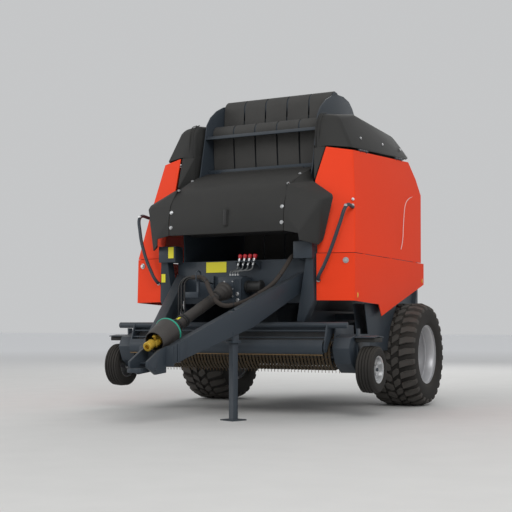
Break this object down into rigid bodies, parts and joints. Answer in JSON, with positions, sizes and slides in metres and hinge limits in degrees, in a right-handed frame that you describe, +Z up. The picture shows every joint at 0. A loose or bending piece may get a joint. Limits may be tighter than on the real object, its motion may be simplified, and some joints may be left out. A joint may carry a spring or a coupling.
{
  "type": "round baler",
  "caption": "Towed round baler with a belt chamber, rising tailgate, tine pickup with gauge wheels, net bay under a hood, V drawbar with jack, and orange-red side doors.",
  "frame": {"origin": "on the ground, under the middle of the machine's length and width", "axes": "+Z up, -Y towards the drawbar and the tractor, +X towards the machine's own left side"},
  "size_m": [2.766, 5.08, 3.108],
  "materials": {
    "steel": "satin blue-grey paint",
    "red_panel": "smooth semi-gloss orange-red paint",
    "black_plastic": "fine-grained charcoal plastic",
    "tyre": "matt black rubber with block tread",
    "gauge_tyre": "matt black ribbed rubber",
    "rim": "silver paint",
    "belt": "matt dark rubber",
    "tine_steel": "yellowish spring steel",
    "yoke": "yellow zinc plating",
    "net": "wound net film",
    "hose": "braided black hose",
    "rod_chrome": "polished",
    "bolt": "bright zinc",
    "label": "blank yellow film",
    "coupling_red": "red plastic",
    "ring_green": "green plastic",
    "pale_trim": "thin pale line"
  },
  "bodies": {
    "chassis": {"axle_beam": "steel", "chamber_belts": "belt", "chamber_wall_left": "steel", "chamber_wall_right": "steel", "drawbar_arm_left": "steel", "drawbar_arm_right": "steel", "drawbar_head": "steel", "front_belts": "belt", "front_plate": "steel", "front_post_left": "steel", "front_post_right": "steel", "gearbox": "steel", "hood_wing_left": "black_plastic", "hood_wing_right": "black_plastic", "hose_rack": "steel", "jack_sleeve": "steel", "mid_bar": "steel", "roof_cover_left": "black_plastic", "roof_cover_right": "black_plastic", "shaft_guard": "black_plastic", "side_rail_left": "steel", "side_rail_right": "steel", "sill_bar": "steel", "supply_conduit": "hose", "throat_floor": "steel", "tow_eye": "steel", "wheel_guard_left": "steel", "wheel_guard_right": "steel"},
    "jack": {"jack_leg": "steel"},
    "drive_shaft": {"drive_shaft": "yoke"},
    "hood_lid": {"hood_lid": "black_plastic"},
    "net_roll": {"net_roll": "net"},
    "pickup": {"pickup_frame": "steel", "pickup_strippers": "steel", "pickup_side_left": "steel", "pickup_side_right": "steel"},
    "pickup_reel": {"pickup_reel": "tine_steel"},
    "wind_guard": {"wind_guard": "steel"},
    "press_roller": {"press_roller": "steel"},
    "feed_rotor": {"feed_rotor": "steel"},
    "floor_roller": {"floor_roller": "steel"},
    "tailgate": {"tailgate_frame": "steel", "tailgate_belts": "belt"},
    "wheel_left": {"tyre_left": "tyre", "rim_left": "rim"},
    "door_left": {"door_upper_left": "red_panel", "door_lower_left": "red_panel", "grab_bar_left": "steel"},
    "gauge_wheel_left": {"gauge_wheel_left": "gauge_tyre"},
    "barrel_left": {"cylinder_barrel_left": "steel"},
    "rod_left": {"cylinder_rod_left": "rod_chrome"},
    "wheel_right": {"tyre_right": "tyre", "rim_right": "rim"},
    "door_right": {"door_upper_right": "red_panel", "door_lower_right": "red_panel", "grab_bar_right": "steel"},
    "gauge_wheel_right": {"gauge_wheel_right": "gauge_tyre"},
    "barrel_right": {"cylinder_barrel_right": "steel"},
    "rod_right": {"cylinder_rod_right": "rod_chrome"}
  },
  "joints": [
    {"name": "wheel_left_spin", "type": "hinge", "parent": "chassis", "child": "wheel_left", "pos_m": [1.07, 0.788, 0.51], "axis": [1, 0, 0], "continuous": true},
    {"name": "wheel_right_spin", "type": "hinge", "parent": "chassis", "child": "wheel_right", "pos_m": [-1.07, 0.788, 0.51], "axis": [1, 0, 0], "continuous": true},
    {"name": "jack_slide", "type": "slide", "parent": "chassis", "child": "jack", "axis": [0, 0, 1], "range_m": [0, 0.3]},
    {"name": "drive_shaft_spin", "type": "hinge", "parent": "chassis", "child": "drive_shaft", "pos_m": [0, -2.312, 0.625], "axis": [0, 0.9335, 0.3587], "continuous": true},
    {"name": "hood_lid_hinge", "type": "hinge", "parent": "chassis", "child": "hood_lid", "pos_m": [0, -0.328, 2.3], "axis": [-1, 0, 0], "range_deg": [0, 75]},
    {"name": "net_roll_spin", "type": "hinge", "parent": "chassis", "child": "net_roll", "pos_m": [0, -0.652, 1.76], "axis": [1, 0, 0], "continuous": true},
    {"name": "door_left_hinge", "type": "hinge", "parent": "chassis", "child": "door_left", "pos_m": [1.018, -0.463, 2.416], "axis": [0.0095, -0.9977, -0.0676], "range_deg": [0, 60]},
    {"name": "door_right_hinge", "type": "hinge", "parent": "chassis", "child": "door_right", "pos_m": [-1.018, -0.463, 2.416], "axis": [0.0095, 0.9977, 0.0676], "range_deg": [0, 60]},
    {"name": "pickup_lift", "type": "hinge", "parent": "chassis", "child": "pickup", "pos_m": [0, -0.212, 0.76], "axis": [1, 0, 0], "range_deg": [0, 25]},
    {"name": "pickup_reel_spin", "type": "hinge", "parent": "pickup", "child": "pickup_reel", "pos_m": [0, -0.712, 0.58], "axis": [1, 0, 0], "continuous": true},
    {"name": "gauge_wheel_left_spin", "type": "hinge", "parent": "pickup", "child": "gauge_wheel_left", "pos_m": [1.302, -0.775, 0.417], "axis": [1, 0, 0], "continuous": true},
    {"name": "gauge_wheel_right_spin", "type": "hinge", "parent": "pickup", "child": "gauge_wheel_right", "pos_m": [-1.302, -0.775, 0.417], "axis": [1, 0, 0], "continuous": true},
    {"name": "wind_guard_hinge", "type": "hinge", "parent": "pickup", "child": "wind_guard", "pos_m": [0, -0.88, 0.775], "axis": [-1, 0, 0], "range_deg": [0, 35]},
    {"name": "press_roller_spin", "type": "hinge", "parent": "wind_guard", "child": "press_roller", "pos_m": [0, -1.062, 0.598], "axis": [1, 0, 0], "continuous": true},
    {"name": "feed_rotor_spin", "type": "hinge", "parent": "chassis", "child": "feed_rotor", "pos_m": [0, -0.112, 0.65], "axis": [1, 0, 0], "continuous": true},
    {"name": "floor_roller_spin", "type": "hinge", "parent": "chassis", "child": "floor_roller", "pos_m": [0, 0.8969, 0.6664], "axis": [1, 0, 0], "continuous": true},
    {"name": "tailgate_hinge", "type": "hinge", "parent": "chassis", "child": "tailgate", "pos_m": [0, 1.088, 2.74], "axis": [1, 0, 0], "range_deg": [0, 60]},
    {"name": "barrel_left_pivot", "type": "hinge", "parent": "chassis", "child": "barrel_left", "pos_m": [0.675, 0.838, 1.65], "axis": [1, 0, 0], "range_deg": [0, 17.5]},
    {"name": "rod_left_slide", "type": "slide", "parent": "barrel_left", "child": "rod_left", "axis": [0, 0.7761, 0.6306], "range_m": [0, 0.6]},
    {"name": "barrel_right_pivot", "type": "hinge", "parent": "chassis", "child": "barrel_right", "pos_m": [-0.675, 0.838, 1.65], "axis": [1, 0, 0], "range_deg": [0, 17.5]},
    {"name": "rod_right_slide", "type": "slide", "parent": "barrel_right", "child": "rod_right", "axis": [0, 0.7761, 0.6306], "range_m": [0, 0.6]}
  ],
  "couplings": [
    {"joint": "barrel_left_pivot", "follows": "tailgate_hinge", "ratio": 0.2828},
    {"joint": "rod_left_slide", "follows": "tailgate_hinge", "m_per_rad": 0.5653},
    {"joint": "barrel_right_pivot", "follows": "tailgate_hinge", "ratio": 0.2828},
    {"joint": "rod_right_slide", "follows": "tailgate_hinge", "m_per_rad": 0.5653}
  ]
}
